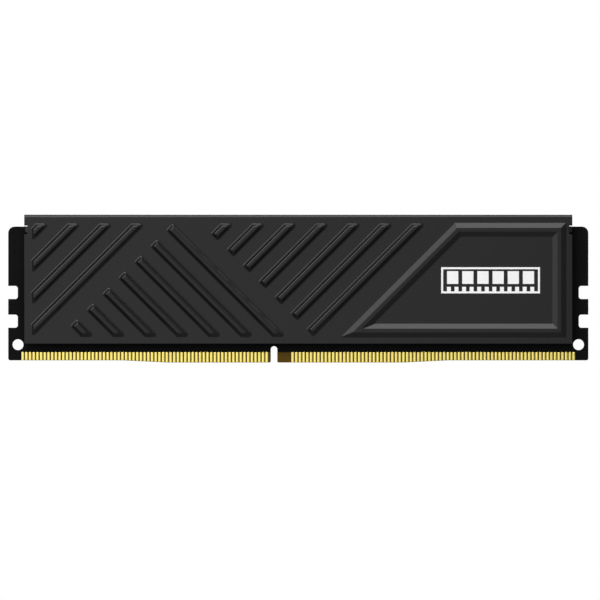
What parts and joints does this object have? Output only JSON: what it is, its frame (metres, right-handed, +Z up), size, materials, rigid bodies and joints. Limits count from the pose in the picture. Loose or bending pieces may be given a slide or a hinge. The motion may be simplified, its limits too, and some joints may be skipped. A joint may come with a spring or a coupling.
{
  "type": "ram module",
  "caption": "Desktop memory module: keyed circuit board with gold edge contacts, chips on both faces and two black stamped heat-spreader plates.",
  "frame": {"origin": "middle of the contact edge, on the board's mid-plane", "axes": "+X along the module to the right as seen from the marked front, -Y out of the front plate, +Z up from the contact edge"},
  "size_m": [0.1334, 0.0072, 0.034],
  "materials": {
    "laminate": "matte woven glass laminate",
    "solder_mask": "satin black lacquer",
    "gold_plate": "polished gold plating",
    "chip_package": "matte moulding compound",
    "solder": "satin tin solder",
    "capacitor": "satin ceramic with tinned ends",
    "resistor": "satin black glaze with tinned ends",
    "thermal_pad": "matte filled silicone",
    "anodised_sheet": "matte black with a fine grain",
    "white_print": "satin white ink",
    "label_paper": "satin coated paper"
  },
  "bodies": {
    "root": {"pcb": "laminate", "solder_mask_front": "solder_mask", "solder_mask_back": "solder_mask", "contacts_front": "gold_plate", "contacts_back": "gold_plate", "dram_1": "chip_package", "dram_2": "chip_package", "dram_3": "chip_package", "dram_4": "chip_package", "dram_5": "chip_package", "dram_6": "chip_package", "dram_7": "chip_package", "dram_8": "chip_package", "dram_9": "chip_package", "dram_10": "chip_package", "dram_11": "chip_package", "dram_12": "chip_package", "dram_13": "chip_package", "dram_14": "chip_package", "dram_15": "chip_package", "dram_16": "chip_package", "solder_balls_front": "solder", "solder_balls_back": "solder", "spd_eeprom": "chip_package", "capacitors_front": "capacitor", "capacitors_back": "capacitor", "resistor_arrays_front": "resistor", "resistor_arrays_back": "resistor", "thermal_pad_front": "thermal_pad", "thermal_pad_back": "thermal_pad", "front_plate": "anodised_sheet", "back_plate": "anodised_sheet", "front_mark": "white_print", "label": "label_paper"}
  },
  "joints": []
}
